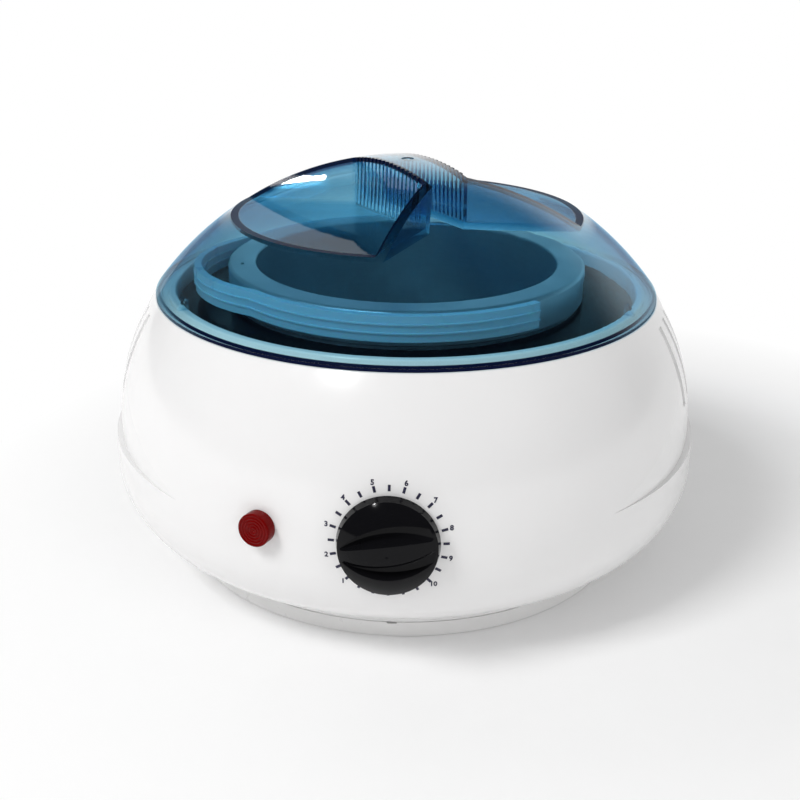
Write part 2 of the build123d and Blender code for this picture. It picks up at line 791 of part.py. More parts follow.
with BuildPart() as pot_stud:
    with BuildSketch(stud_plane.offset(contact_gap)):
        Circle(stud_radius)
    extrude(amount=stud_height - contact_gap)
    crown = pot_stud.edges().sort_by(Axis(stud_plane.origin, stud_plane.z_dir))[-1]
    fillet(crown, radius=stud_height * 0.6)
    with BuildSketch(stud_plane.offset(contact_gap)):
        Circle(stud_radius / 2)
    extrude(amount=-pot_wall - 3 * contact_gap)
    with BuildSketch(stud_plane.offset(-pot_wall - 2 * contact_gap)):
        Circle(stud_radius * 0.8)
    extrude(amount=-pot_wall)
pot_stud.part.label = "pot_stud"
export_step(pot_stud.part, "parts/pot_stud.step")

# Handle strip: one plan curve, thickened, with a loop for two fingers
strip_inner = collar_radius + handle_gap
strip_middle = strip_inner + handle_thickness / 2
loop_chord = strip_middle * sin(radians(loop_half_angle))
loop_sagitta = loop_reach - strip_middle * cos(radians(loop_half_angle))
loop_arc = (loop_chord**2 + loop_sagitta**2) / (2 * loop_sagitta)
loop_first = around(loop_direction - loop_half_angle, strip_middle)[:2]
loop_far = around(loop_direction, loop_reach)[:2]
loop_last = around(loop_direction + loop_half_angle, strip_middle)[:2]


def strip_outline(width):
    """Plan of the handle strip at this width."""
    with BuildSketch() as outline:
        with BuildLine() as middle_line:
            CenterArc((0, 0), strip_middle, handle_start, loop_direction - loop_half_angle - handle_start)
            ThreePointArc(loop_first, loop_far, loop_last)
            last_angle = loop_direction + loop_half_angle
            CenterArc((0, 0), strip_middle, last_angle, handle_end - last_angle)
        trace(middle_line.edges(), line_width=width)
    return outline.sketch


with BuildPart() as pot_handle:
    handle_low = handle_top - handle_height
    with BuildSketch(Plane.XY.offset(handle_low)):
        add(strip_outline(handle_thickness))
    extrude(amount=handle_height)
    # blend where the loop leaves the collar
    blend_distance = strip_middle * cos(radians(loop_half_angle))
    loop_plane = upright(loop_direction)
    corners = pot_handle.edges().filter_by(Axis.Z).filter_by(
        lambda edge: abs(loop_plane.to_local_coords(edge.center()).X - blend_distance) < handle_thickness
    )
    fillet(corners, radius=loop_blend)
    # two ridges round the strip
    for share in (1 / 3, 2 / 3):
        with BuildSketch(Plane.XY.offset(handle_low + share * handle_height - ridge_height / 2)):
            add(strip_outline(handle_thickness + 2 * ridge_depth))
        extrude(amount=ridge_height)
    with BuildSketch(Plane.XY.offset(handle_low)):
        Circle(strip_inner)
    extrude(amount=handle_height, mode=Mode.SUBTRACT)
    # pegs that hold the strip on the collar, with heads on the inside
    for angle in peg_angles:
        peg_spot = around(angle, strip_inner + ridge_depth, handle_middle)
        peg_root = Plane(origin=peg_spot, z_dir=around(angle, 1))
        with BuildSketch(peg_root):
            Circle(peg_radius)
        extrude(amount=-(strip_inner + ridge_depth - collar_inner_radius + 2 * contact_gap))
        with BuildSketch(peg_root.offset(-(strip_inner + ridge_depth - collar_inner_radius + contact_gap))):
            Circle(1.5 * peg_radius)
        extrude(amount=-peg_radius / 2)
pot_handle.part.label = "pot_handle"
export_step(pot_handle.part, "parts/pot_handle.step")

# Lid: a spherical dome over a short upright edge
dome_rise = lid_top - shoulder_height - lid_gap - lid_edge
dome_radius = (lid_radius**2 + dome_rise**2) / (2 * dome_rise)
dome_centre = lid_top - dome_radius
lid_bottom = shoulder_height + lid_gap
floor_circle = sqrt(dome_radius**2 - (recess_floor - dome_centre) ** 2)


def dome(inset):
    """Solid under the dome, with its surface moved inwards by the inset."""
    with BuildPart() as body:
        reach = lid_radius - inset
        edge_height = dome_centre + sqrt((dome_radius - inset) ** 2 - reach**2)
        with BuildSketch(Plane.XZ):
            with BuildLine():
                Line((0, lid_bottom - inset), (reach, lid_bottom - inset))
                Line((reach, lid_bottom - inset), (reach, edge_height))
                RadiusArc((reach, edge_height), (0, lid_top - inset), -(dome_radius - inset))
                Line((0, lid_top - inset), (0, lid_bottom - inset))
            make_face()
        revolve(axis=Axis.Z)
    return body.part


def recess_block(direction, grow):
    """Space of one finger recess, grown outwards on all its walls and its floor."""
    corner = Vector(waist_half_width, waist_half_length)
    tip = Vector(*around(recess_tip_angle, floor_circle))
    beyond = tip + (tip - corner) * 0.6
    height = recess_floor - grow
    with BuildPart() as block:
        with BuildSketch(Plane(origin=(0, 0, height), x_dir=around(direction, 1), z_dir=(0, 0, 1))):
            with BuildLine():
                Polyline(
                    (corner.X, -corner.Y),
                    (beyond.X, -beyond.Y),
                    (lid_radius, -beyond.Y),
                    (lid_radius, beyond.Y),
                    (beyond.X, beyond.Y),
                    (corner.X, corner.Y),
                    close=True,
                )
            make_face()
            if grow > 0:
                offset(amount=grow, kind=Kind.INTERSECTION)
        extrude(amount=lid_top - height + 1, taper=-recess_draft)
    return block.part


def waist_ribs(direction):
    """Row of upright ribs on the bar's drafted wall."""
    outward = around(direction, cos(radians(recess_draft)), sin(radians(recess_draft)))
    wall_foot = around(direction, waist_half_width, recess_floor)
    wall_face = Plane(origin=wall_foot, x_dir=around(direction + 90, 1), z_dir=outward)
    rib_height = lid_top - recess_floor
    with BuildPart() as ribs:
        with BuildSketch(wall_face.offset(-lid_rib_depth)):
            with Locations((0, rib_height / 2)):
                with GridLocations(lid_rib_pitch, 0, lid_rib_count, 1):
                    Rectangle(lid_rib_width, rib_height)
        extrude(amount=2 * lid_rib_depth)
    return ribs.part


with BuildPart() as lid_hollow:
    add(dome(lid_wall))
    for direction in (recess_direction, recess_direction + 180):
        add(recess_block(direction, lid_wall), mode=Mode.SUBTRACT)

with BuildPart() as lid:
    for direction in (recess_direction, recess_direction + 180):
        add(waist_ribs(direction))
    add(dome(0), mode=Mode.INTERSECT)
    with BuildPart(mode=Mode.PRIVATE) as shell:
        add(dome(0))
        for direction in (recess_direction, recess_direction + 180):
            add(recess_block(direction, 0), mode=Mode.SUBTRACT)
        with BuildSketch(Plane.XY.offset(lid_top - gate_depth)):
            Circle(gate_radius)
        extrude(amount=2 * gate_depth, mode=Mode.SUBTRACT)
    add(shell.part)
    add(lid_hollow.part, mode=Mode.SUBTRACT)
    with BuildPart(mode=Mode.PRIVATE) as lugs:
        for place in range(lug_count):
            angle = lug_first_angle + place * 360 / lug_count
            lug_reach = lid_radius - lip_inner_radius - lip_width / 4
            with BuildSketch(level(angle, lid_radius - lug_reach / 2, lip_height + lid_gap)):
                Rectangle(lug_reach, lug_width)
            extrude(amount=2 * lug_width)
        add(dome(lid_wall / 2), mode=Mode.INTERSECT)
    add(lugs.part)
lid.part.label = "lid"
export_step(lid.part, "parts/lid.step")


def shifted(plane, across, along, out=0):
    """The plane moved within itself and along its normal."""
    spot = plane.from_local_coords(Vector(across, along, out))
    return Plane(origin=spot, x_dir=plane.x_dir, z_dir=plane.z_dir)


def section_of(plane):
    """Plane that holds this plane's x axis and its normal, for profiles revolved about the normal."""
    return Plane(origin=plane.origin, x_dir=plane.x_dir, z_dir=plane.x_dir.cross(plane.z_dir))


# Knob: a low domed disc with a grip bar left standing between two scoops
bar_along = knob_plane.x_dir.rotate(Axis((0, 0, 0), knob_plane.z_dir), knob_bar_tilt)
bar_plane = Plane(origin=knob_plane.origin, x_dir=bar_along, z_dir=knob_plane.z_dir)
knob_axis = Axis(knob_plane.origin, knob_plane.z_dir)
knob_dome = (knob_front_radius**2 + (knob_rise - knob_edge) ** 2) / (2 * (knob_rise - knob_edge))
scoop_high = knob_rise + 1
scoop_flare = (scoop_high - scoop_floor) * tan(radians(scoop_draft))


def scoop_section(height, flare):
    """Plan of one scoop at this height, widened by the flare on both sides."""
    near = scoop_near - flare
    near_end = scoop_near_end - flare
    far = scoop_far + flare
    far_end = scoop_far_end + flare
    tip = scoop_near_end + scoop_tip_width + flare
    with BuildSketch(bar_plane.offset(height)) as section:
        with BuildLine():
            ThreePointArc((-knob_radius, -near_end), (0, -near), (knob_radius, -near_end))
            Line((knob_radius, -near_end), (knob_radius, -far_end))
            ThreePointArc((knob_radius, -far_end), (0, -far), (-knob_radius, -tip))
            Line((-knob_radius, -tip), (-knob_radius, -near_end))
        make_face()
    return section.sketch


with BuildPart() as scoop:
    add(scoop_section(scoop_floor, 0))
    add(scoop_section(scoop_high, scoop_flare))
    loft(ruled=True)
    bar_foot = scoop.edges().group_by(knob_axis)[0].sort_by_distance(bar_plane.origin)[0]
    fillet(bar_foot, radius=scoop_round)


def flatted(plane, radius, flat):
    """Round section with one flat at this distance from its centre."""
    with BuildSketch(plane) as section:
        Circle(radius)
        with Locations((0, flat + radius)):
            Rectangle(3 * radius, 2 * radius, mode=Mode.SUBTRACT)
    return section.sketch


flat_distance = shaft_radius - shaft_flat
bore_flat = flat_distance + clip_thickness + 2 * contact_gap
cup_depth = scoop_floor - knob_wall
with BuildPart() as knob:
    with BuildSketch(section_of(knob_plane)):
        with BuildLine():
            Line((0, knob_gap), (knob_radius, knob_gap))
            Line((knob_radius, knob_gap), (knob_front_radius, knob_edge))
            RadiusArc((knob_front_radius, knob_edge), (0, knob_rise), -knob_dome)
            Line((0, knob_rise), (0, knob_gap))
        make_face()
    revolve(axis=knob_axis)
    add(scoop.part, mode=Mode.SUBTRACT)
    bar_middle = Plane(origin=bar_plane.origin, z_dir=bar_plane.y_dir)
    mirror(scoop.part, about=bar_middle, mode=Mode.SUBTRACT)
    with BuildSketch(knob_plane.offset(knob_gap)):
        Circle(knob_radius - knob_wall)
        Circle(hub_radius, mode=Mode.SUBTRACT)
    extrude(amount=cup_depth - knob_gap, mode=Mode.SUBTRACT)
    bore_section = flatted(bar_plane.offset(knob_gap), shaft_radius + shaft_fit, bore_flat)
    extrude(bore_section, amount=shaft_front + 2 * contact_gap - knob_gap, mode=Mode.SUBTRACT)
knob.part.label = "knob"
export_step(knob.part, "parts/knob.step")

# Leaf spring between the hub's flat and the shaft's flat
with BuildPart() as knob_clip:
    with BuildSketch(bar_plane.offset(knob_gap + clip_thickness)):
        with Locations((0, flat_distance + contact_gap + clip_thickness / 2)):
            Rectangle(shaft_radius, clip_thickness)
    extrude(amount=shaft_front - knob_gap - 2 * clip_thickness)
knob_clip.part.label = "knob_clip"
export_step(knob_clip.part, "parts/knob_clip.step")

with BuildPart() as thermostat_shaft:
    with BuildSketch(knob_plane.offset(shaft_back)):
        Circle(shaft_radius)
    extrude(amount=-shaft_back)
    extrude(flatted(bar_plane, shaft_radius, flat_distance), amount=shaft_front)
thermostat_shaft.part.label = "thermostat_shaft"
export_step(thermostat_shaft.part, "parts/thermostat_shaft.step")

# Thermostat: plate against the housing's seats, switch body, neck round the shaft and two tabs
plate_front = -plate_pad_depth - plate_fit
plate_back = plate_front - plate_thickness
switch_back = plate_back - switch_depth
with BuildPart() as thermostat_body:
    with BuildSketch(knob_plane.offset(plate_back)):
        SlotOverall(screw_spacing + 5 * plate_screw_radius, switch_radius * 1.25)
        with GridLocations(screw_spacing, 0, 2, 1):
            Circle(plate_screw_radius + pilot_fit, mode=Mode.SUBTRACT)
    extrude(amount=plate_thickness)
    with BuildSketch(knob_plane.offset(plate_back)):
        Circle(switch_radius)
        with GridLocations(screw_spacing, 0, 2, 1):
            Circle(2 * plate_screw_radius, mode=Mode.SUBTRACT)
    extrude(amount=-switch_depth)
    with BuildSketch(knob_plane.offset(plate_front)):
        Circle(shaft_hole_radius - slip_gap)
    extrude(amount=-plate_front - wall / 2)
    with BuildSketch(knob_plane.offset(switch_back)):
        with GridLocations(switch_radius, 0, 2, 1):
            Rectangle(tab_thickness, tab_width)
    extrude(amount=-tab_length)
    with BuildSketch(knob_plane):
        Circle(shaft_radius + shaft_fit)
    extrude(amount=shaft_back - contact_gap, mode=Mode.SUBTRACT)
thermostat_body.part.label = "thermostat_body"
export_step(thermostat_body.part, "parts/thermostat_body.step")

with BuildPart() as thermostat_screws:
    for side in (-1, 1):
        head_seat = shifted(knob_plane, side * screw_spacing / 2, 0, -countersink_radius / 2)
        reach = plate_pad_depth + plate_fit + plate_thickness + 2 * wall / 2 - countersink_radius / 2
        add(screw(head_seat, plate_screw_radius, reach, countersink_radius, plate_screw_radius / 2))
thermostat_screws.part.label = "thermostat_screws"
export_step(thermostat_screws.part, "parts/thermostat_screws.step")

# Sensor bulb and cut-out fuse, both clipped under the well's floor
with BuildPart() as sensor_bulb:
    bulb_height = well_bottom - bulb_radius - contact_gap
    bulb_end = Plane(origin=(-bulb_length / 2, bulb_offset, bulb_height), z_dir=(1, 0, 0))
    with BuildSketch(bulb_end):
        Circle(bulb_radius)
    extrude(amount=bulb_length)
    fillet(sensor_bulb.edges(), radius=bulb_radius / 3)
sensor_bulb.part.label = "sensor_bulb"
export_step(sensor_bulb.part, "parts/sensor_bulb.step")

with BuildPart() as thermal_fuse:
    fuse_height = well_bottom - fuse_radius - contact_gap
    with BuildSketch(Plane(origin=(-fuse_length / 2, fuse_offset, fuse_height), z_dir=(1, 0, 0))):
        Circle(fuse_radius)
    extrude(amount=fuse_length)
    fillet(thermal_fuse.edges(), radius=fuse_radius / 3)
thermal_fuse.part.label = "thermal_fuse"
export_step(thermal_fuse.part, "parts/thermal_fuse.step")


def under_clip(offset_y, radius, width):
    """Sheet clip that holds a round piece against the underside of the well."""
    foot_height = well_bottom - contact_gap - clip_sheet / 2
    bow = radius + contact_gap + clip_sheet / 2
    centre_height = well_bottom - radius - contact_gap
    spread = sqrt(max(bow**2 - (foot_height - centre_height) ** 2, 0)) + 2 * contact_gap
    with BuildPart() as clip:
        with BuildSketch(Plane(origin=(-width / 2, offset_y, 0), x_dir=(0, 1, 0), z_dir=(1, 0, 0))):
            with BuildLine() as path:
                Line((-spread - 3 * radius, foot_height), (-spread, foot_height))
                ThreePointArc((-spread, foot_height), (0, centre_height - bow), (spread, foot_height))
                Line((spread, foot_height), (spread + 3 * radius, foot_height))
            trace(path.edges(), line_width=clip_sheet)
        extrude(amount=width)
    return clip.part


with BuildPart() as bulb_clip:
    add(under_clip(bulb_offset, bulb_radius, 4 * bulb_radius))
bulb_clip.part.label = "bulb_clip"
export_step(bulb_clip.part, "parts/bulb_clip.step")

with BuildPart() as fuse_clip:
    add(under_clip(fuse_offset, fuse_radius, 3 * fuse_radius))
fuse_clip.part.label = "fuse_clip"
export_step(fuse_clip.part, "parts/fuse_clip.step")

# Capillary from the switch's back to the end of the bulb, on straight runs joined by arcs
with BuildPart() as capillary_tube:
    leave = knob_plane.from_local_coords(Vector(-switch_radius * 0.4, -switch_radius * 0.5, switch_back))
    inward = knob_plane.z_dir * -1
    bulb_start = Vector(-bulb_length / 2, bulb_offset, bulb_height)
    side_x = bulb_start.X - 2.2 * capillary_bend
    points = [
        leave,
        leave + inward * 11,
        Vector(side_x, (leave.Y + bulb_offset) / 2, bulb_height),
        Vector(side_x, bulb_offset, bulb_height),
        bulb_start,
    ]
    with BuildLine() as capillary_path:
        FilletPolyline(points, radius=capillary_bend)
    with BuildSketch(Plane(origin=leave, z_dir=inward)):
        Circle(capillary_radius)
    sweep(path=capillary_path.wires()[0])
capillary_tube.part.label = "capillary_tube"
export_step(capillary_tube.part, "parts/capillary_tube.step")

# Terminal block on its two posts, with clamp screws over the wire ways
block_bottom = plate_top + block_step_height + contact_gap
way_pitch = block_length * 0.1875
way_level = block_bottom + block_height * 0.55
with BuildPart() as terminal_block:
    with BuildSketch(Plane(origin=(block_x, block_y, block_bottom))):
        RectangleRounded(block_length, block_width, radius=block_width / 10)
        with GridLocations(block_length - 4 * small_screw_radius, 0, 2, 1):
            Circle(small_screw_radius + clearance_fit, mode=Mode.SUBTRACT)
    extrude(amount=block_height)
    with BuildSketch(Plane(origin=(block_x, block_y, block_bottom + block_height))):
        with GridLocations(block_length - 4 * small_screw_radius, 0, 2, 1):
            Rectangle(4 * small_screw_radius, 2 * block_width)
    extrude(amount=-block_height / 2, mode=Mode.SUBTRACT)
    way_spot = (block_x, block_y - block_width, way_level)
    with BuildSketch(Plane(origin=way_spot, x_dir=(1, 0, 0), z_dir=(0, 1, 0))):
        with GridLocations(way_pitch, 0, 3, 1):
            Circle(small_screw_radius)
    extrude(amount=2 * block_width, mode=Mode.SUBTRACT)
    with BuildSketch(Plane(origin=(block_x, block_y, block_bottom + block_height))):
        with GridLocations(way_pitch, block_width / 2, 3, 2):
            Circle(small_screw_radius + pilot_fit)
    extrude(amount=-block_height * 0.45, mode=Mode.SUBTRACT)
terminal_block.part.label = "terminal_block"
export_step(terminal_block.part, "parts/terminal_block.step")

with BuildPart() as terminal_screws:
    top = Plane(origin=(block_x, block_y, block_bottom + block_height))
    with BuildSketch(top.offset(-block_height / 6)):
        with GridLocations(way_pitch, block_width / 2, 3, 2):
            Circle(small_screw_radius)
    extrude(amount=-block_height * 0.25)
    with BuildSketch(top.offset(-block_height / 6)):
        with GridLocations(way_pitch, block_width / 2, 3, 2):
            Rectangle(2 * small_screw_radius, small_screw_radius / 3)
    extrude(amount=-small_screw_radius / 2, mode=Mode.SUBTRACT)
terminal_screws.part.label = "terminal_screws"
export_step(terminal_screws.part, "parts/terminal_screws.step")

with BuildPart() as block_screws:
    for side in (-1, 1):
        reach = block_length / 2 - 2 * small_screw_radius
        seat = Plane(origin=(block_x + side * reach, block_y, block_bottom + block_height / 2))
        length = block_height / 2 + block_step_height - 1
        add(screw(seat, small_screw_radius, length, small_head_radius * 0.9, small_head_height))
block_screws.part.label = "block_screws"
export_step(block_screws.part, "parts/block_screws.step")



def lead(points):
    """Insulated wire on straight runs joined by arcs."""
    with BuildPart() as wire:
        with BuildLine() as path:
            FilletPolyline(points, radius=lead_bend)
        with BuildSketch(Plane(origin=points[0], z_dir=points[1] - points[0])):
            Circle(lead_radius)
        sweep(path=path.wires()[0])
    return wire.part


def at_band(angle):
    """End of a lead that rises outside the shield and meets the band's lower edge."""
    return [
        Vector(*around(angle, lead_rise_circle, band_low - lead_rise_circle / 9)),
        Vector(*around(angle, (band_inner + band_outer) / 2, band_low - contact_gap - lead_radius * 0.6)),
    ]


def at_tab(side):
    """Start of a lead that leaves one tab of the thermostat inwards."""
    tab_end = switch_back - tab_length - contact_gap
    start = knob_plane.from_local_coords(Vector(side * switch_radius / 2, 0, tab_end))
    return [start, start + inward * 2 * lead_bend]


way_mouth = block_y - block_width / 2
way_stop = way_mouth + lead_radius * 2.2

with BuildPart() as lead_fuse:
    way = block_x + way_pitch
    start = Vector(way, way_stop, way_level)
    down = Vector(*fuse_lead_spot, way_level)
    up = Vector(*fuse_lead_spot, fuse_height)
    turn = Vector(-fuse_length / 2 - 2 * lead_bend, fuse_offset, fuse_height)
    end = Vector(-fuse_length / 2 - contact_gap, fuse_offset, fuse_height)
    add(lead([start, Vector(way, way_mouth - 2 * lead_bend, way_level), down, up, turn, end]))
lead_fuse.part.label = "lead_fuse"
export_step(lead_fuse.part, "parts/lead_fuse.step")

with BuildPart() as lead_switch:
    start = Vector(fuse_length / 2 + contact_gap, fuse_offset, fuse_height)
    turn = Vector(fuse_length / 2 + 2 * lead_bend, fuse_offset, fuse_height)
    down = Vector(*switch_lead_spot, fuse_height)
    low = Vector(*switch_lead_spot, way_level)
    tab, rise = at_tab(-1)
    aside = Vector(tab.X - 6, -shield_post_circle * 0.7, way_level)
    foot = Vector(rise.X, rise.Y, way_level)
    add(lead([start, turn, down, low, aside, foot, rise, tab]))
lead_switch.part.label = "lead_switch"
export_step(lead_switch.part, "parts/lead_switch.step")

with BuildPart() as lead_heater:
    tab, rise = at_tab(1)
    corner = Vector(switch_lead_spot[0] - 2, -shield_post_circle * 0.3, lead_low)
    ascent, end = at_band(band_split_angle - band_lead_angle)
    foot = Vector(rise.X, rise.Y, lead_low)
    add(lead([tab, rise, foot, corner, Vector(ascent.X, ascent.Y, lead_low), ascent, end]))
lead_heater.part.label = "lead_heater"
export_step(lead_heater.part, "parts/lead_heater.step")

with BuildPart() as lead_return:
    way = block_x - way_pitch
    ascent, end = at_band(band_split_angle + band_lead_angle)
    start = Vector(way, way_stop, way_level)
    leave = Vector(way, way_mouth - 2 * lead_bend, way_level)
    add(lead([start, leave, Vector(ascent.X, ascent.Y, way_level), ascent, end]))
lead_return.part.label = "lead_return"
export_step(lead_return.part, "parts/lead_return.step")

# Bushing for the cord, and its nut inside
with BuildPart() as cord_bushing:
    seat = inlet_plane.offset(inlet_boss_depth + contact_gap)
    with BuildSketch(seat):
        Circle(inlet_flange_radius)
    extrude(amount=inlet_flange_thickness)
    fillet(cord_bushing.edges().group_by(Axis.Y)[-1], radius=inlet_flange_thickness / 3)
    with BuildSketch(seat):
        Circle(inlet_stem_radius)
    extrude(amount=-inlet_stem_length)
    with BuildSketch(seat.offset(inlet_flange_thickness)):
        Circle(inlet_bore_radius)
    extrude(amount=-inlet_flange_thickness - inlet_stem_length, mode=Mode.SUBTRACT)
cord_bushing.part.label = "cord_bushing"
export_step(cord_bushing.part, "parts/cord_bushing.step")

with BuildPart() as bushing_nut:
    with BuildSketch(inlet_plane.offset(-wall - 2 * slip_gap)):
        RegularPolygon(radius=inlet_nut_width / 2, side_count=6, major_radius=False)
        Circle(inlet_stem_radius + pilot_fit, mode=Mode.SUBTRACT)
    extrude(amount=-inlet_nut_thickness)
bushing_nut.part.label = "bushing_nut"
export_step(bushing_nut.part, "parts/bushing_nut.step")

# Pilot lamp: ringed red lens, body behind the wall and a spring washer
lamp_axis = Axis(lamp_plane.origin, lamp_plane.z_dir)
lens_rings = 4
lens_dome = lens_radius - lens_ring_step / 2
with BuildPart() as lamp_lens:
    with BuildSketch(section_of(lamp_plane)):
        steps = [place / (lens_rings + 1) for place in range(lens_rings + 1)]
        crown = lens_reach - lens_flange - lens_ring_step
        ring_points = [
            (lens_dome * (1 - step), lens_flange + lens_ring_step + crown * sqrt(1 - (1 - step) ** 2))
            for step in steps
        ]
        with BuildLine():
            Line((0, contact_gap), (lens_radius, contact_gap))
            Line((lens_radius, contact_gap), (lens_radius, lens_flange))
            Line((lens_radius, lens_flange), (lens_dome, lens_flange))
            Line((lens_dome, lens_flange), ring_points[0])
            for outer, inner in zip(ring_points, ring_points[1:]):
                SagittaArc(outer, inner, -lens_ring_step / 4)
            Line(ring_points[-1], (0, ring_points[-1][1]))
            Line((0, ring_points[-1][1]), (0, contact_gap))
        make_face()
    revolve(axis=lamp_axis)
    with BuildSketch(lamp_plane.offset(contact_gap)):
        Circle(lamp_stem_radius)
    extrude(amount=-2 * wall)
lamp_lens.part.label = "lamp_lens"
export_step(lamp_lens.part, "parts/lamp_lens.step")

with BuildPart() as lamp_body:
    lamp_front = -2 * wall
    with BuildSketch(lamp_plane.offset(lamp_front)):
        Circle(lamp_stem_radius * 1.1)
    extrude(amount=-lamp_body_length)
    with BuildSketch(lamp_plane.offset(lamp_front - lamp_body_length)):
        with GridLocations(lamp_stem_radius, 0, 2, 1):
            Rectangle(tab_thickness, tab_width / 2)
    extrude(amount=-tab_length)
lamp_body.part.label = "lamp_body"
export_step(lamp_body.part, "parts/lamp_body.step")

with BuildPart() as lamp_clip:
    with BuildSketch(lamp_plane.offset(-wall - slip_gap)):
        Circle(lamp_clip_radius)
        Circle(lamp_stem_radius + pilot_fit, mode=Mode.SUBTRACT)
    extrude(amount=-lamp_clip_thickness)
lamp_clip.part.label = "lamp_clip"
export_step(lamp_clip.part, "parts/lamp_clip.step")
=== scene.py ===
import bpy
import bmesh
from math import asin, cos, hypot, pi, radians, sin, sqrt
from mathutils import Matrix, Vector


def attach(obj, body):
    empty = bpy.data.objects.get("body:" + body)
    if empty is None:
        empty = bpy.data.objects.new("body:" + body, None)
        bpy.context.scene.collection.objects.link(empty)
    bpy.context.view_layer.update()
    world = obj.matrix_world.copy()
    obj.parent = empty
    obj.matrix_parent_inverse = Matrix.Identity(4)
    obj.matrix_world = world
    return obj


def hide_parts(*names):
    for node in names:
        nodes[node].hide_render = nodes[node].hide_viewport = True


# Lengths are in metres
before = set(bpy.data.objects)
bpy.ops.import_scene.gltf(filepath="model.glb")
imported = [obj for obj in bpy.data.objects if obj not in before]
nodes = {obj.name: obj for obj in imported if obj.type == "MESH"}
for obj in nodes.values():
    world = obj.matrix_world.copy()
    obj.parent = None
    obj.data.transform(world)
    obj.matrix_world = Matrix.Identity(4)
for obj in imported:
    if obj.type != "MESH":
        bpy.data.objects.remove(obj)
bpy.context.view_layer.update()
scene = bpy.context.scene


def make_camera():
    """Camera at the photograph's place, with its lens, tilt, pan and roll."""
    turn = radians(2.3)
    pan, tilt, roll = radians(-0.27), radians(23.04), radians(0.6)
    ahead = Vector((sin(pan) * cos(tilt), cos(pan) * cos(tilt), -sin(tilt)))
    right = Vector((cos(pan), -sin(pan), 0))
    up = right.cross(ahead)
    across = right * cos(roll) + up * sin(roll)
    upward = up * cos(roll) - right * sin(roll)
    basis = Matrix((across, upward, -ahead)).transposed()
    place = Vector((0, -0.4475, 0.2475))
    spin = Matrix.Rotation(turn, 4, "Z")
    data = bpy.data.cameras.new("camera")
    data.sensor_width = 36
    data.lens = 48.99
    data.clip_start = 0.01
    data.clip_end = 50
    camera = bpy.data.objects.new("camera", data)
    camera.matrix_world = spin @ Matrix.Translation(place) @ basis.to_4x4()
    scene.collection.objects.link(camera)
    scene.camera = camera


make_camera()


class Graph:
    """Builds one node tree. A value given to a socket is a number, a colour or a node's output."""

    def __init__(self, tree):
        self.tree = tree
        tree.nodes.clear()

    def feed(self, socket, value):
        if isinstance(value, bpy.types.NodeSocket):
            self.tree.links.new(value, socket)
        elif socket.type == "RGBA":
            socket.default_value = (*value, 1)
        else:
            socket.default_value = value

    def node(self, kind, **values):
        """A node with its settings and inputs, which are named with _ for a space."""
        made = self.tree.nodes.new(kind)
        for key, value in values.items():
            if hasattr(made, key) and key not in made.inputs:
                setattr(made, key, value)
            else:
                self.feed(made.inputs[key.replace("_", " ")], value)
        return made

    def filled(self, kind, values, **settings):
        """A node whose first inputs get these values, in order."""
        made = self.node(kind, **settings)
        for socket, value in zip(made.inputs, values):
            self.feed(socket, value)
        return made

    def maths(self, operation, *values):
        return self.filled("ShaderNodeMath", values, operation=operation).outputs[0]

    def multiply(self, first, *others):
        for other in others:
            first = self.maths("MULTIPLY", first, other)
        return first

    def largest(self, first, *others):
        for other in others:
            first = self.maths("MAXIMUM", first, other)
        return first

    def vector(self, operation, *values):
        return self.filled("ShaderNodeVectorMath", values, operation=operation).outputs["Vector"]

    def measure(self, operation, *values):
        """A number from one or two vectors, such as a length."""
        return self.filled("ShaderNodeVectorMath", values, operation=operation).outputs["Value"]

    def axis(self, vector, name):
        return self.node("ShaderNodeSeparateXYZ", Vector=vector).outputs[name]

    def spread(self, value, start, end, band=(0.3, 0.7), **settings):
        """Goes from start to end while the value crosses the band."""
        return self.node(
            "ShaderNodeMapRange", From_Min=band[0], From_Max=band[1], To_Min=start, To_Max=end,
            Value=value, **settings,
        ).outputs["Result"]

    def ramp(self, value, first, last, band=(0.3, 0.7)):
        """Goes from one colour to another while the value crosses the band."""
        made = self.node("ShaderNodeValToRGB", Fac=value)
        for key, place, colour in zip(made.color_ramp.elements, band, (first, last)):
            key.position, key.color = place, (*colour, 1)
        return made.outputs["Color"]

    def blend(self, factor, first, second):
        """Mix of two colours."""
        made = self.node("ShaderNodeMix", data_type="RGBA")
        self.feed(made.inputs["Factor"], factor)
        self.feed(made.inputs[6], first)
        self.feed(made.inputs[7], second)
        return made.outputs[2]

    def mix(self, share, first, second):
        """Mix of two shaders."""
        return self.filled("ShaderNodeMixShader", (share, first, second)).outputs[0]

    def any_ray(self, *kinds):
        """1 for a ray of one of these kinds, otherwise 0."""
        rays = self.node("ShaderNodeLightPath").outputs
        return self.largest(*(rays[f"Is {kind} Ray"] for kind in kinds))


